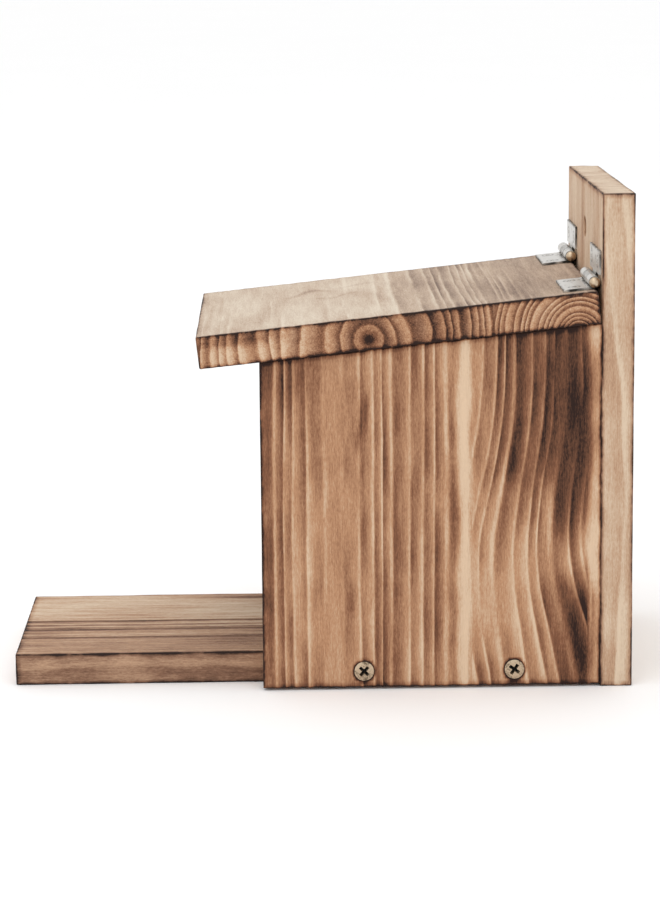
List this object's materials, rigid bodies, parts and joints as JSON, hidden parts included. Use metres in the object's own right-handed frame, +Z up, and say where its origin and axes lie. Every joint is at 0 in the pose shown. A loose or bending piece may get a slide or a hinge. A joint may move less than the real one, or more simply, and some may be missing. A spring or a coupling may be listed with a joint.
{
  "type": "squirrel feeding box",
  "caption": "Wooden wall feeding box with a tall back board, open landing, clear front pane and a sloping lid hinged at the back.",
  "frame": {"origin": "middle of the footprint, on the surface that the box stands on", "axes": "+Z up, -Y out of the open front, +X to the right of someone who faces the open front"},
  "size_m": [0.125, 0.25, 0.2],
  "materials": {
    "back_board": "torched softwood, oiled",
    "base_board": "torched softwood, oiled",
    "side_walls": "heavily torched softwood, oiled",
    "lid": "torched softwood, oiled",
    "pane": "clear acrylic sheet",
    "frame_screws": "yellow zinc plate",
    "hinge_leaves": "bright zinc plate",
    "hinge_pins": "brass plate",
    "hinge_screws": "bright zinc plate"
  },
  "bodies": {
    "housing": {"back_board": "back_board", "base_board": "base_board", "left_side_wall": "side_walls", "right_side_wall": "side_walls", "left_base_screw_front": "frame_screws", "left_base_screw_rear": "frame_screws", "left_back_screw_low": "frame_screws", "left_back_screw_high": "frame_screws", "right_base_screw_front": "frame_screws", "right_base_screw_rear": "frame_screws", "right_back_screw_low": "frame_screws", "right_back_screw_high": "frame_screws", "left_hinge_pin": "hinge_pins", "left_hinge_board_leaf": "hinge_leaves", "left_hinge_board_screw_inner": "hinge_screws", "left_hinge_board_screw_outer": "hinge_screws", "right_hinge_pin": "hinge_pins", "right_hinge_board_leaf": "hinge_leaves", "right_hinge_board_screw_inner": "hinge_screws", "right_hinge_board_screw_outer": "hinge_screws"},
    "lid": {"lid": "lid", "left_hinge_lid_leaf": "hinge_leaves", "left_hinge_lid_screw_inner": "hinge_screws", "left_hinge_lid_screw_outer": "hinge_screws", "right_hinge_lid_leaf": "hinge_leaves", "right_hinge_lid_screw_inner": "hinge_screws", "right_hinge_lid_screw_outer": "hinge_screws"},
    "pane": {"front_pane": "pane"}
  },
  "joints": [
    {"name": "lid_hinge", "type": "hinge", "parent": "housing", "child": "lid", "pos_m": [0, 0.10935, 0.16436], "axis": [-1, 0, 0], "range_deg": [0, 104]},
    {"name": "pane_slide", "type": "slide", "parent": "housing", "child": "pane", "axis": [0, 0, 1], "range_m": [0, 0.0175]}
  ]
}
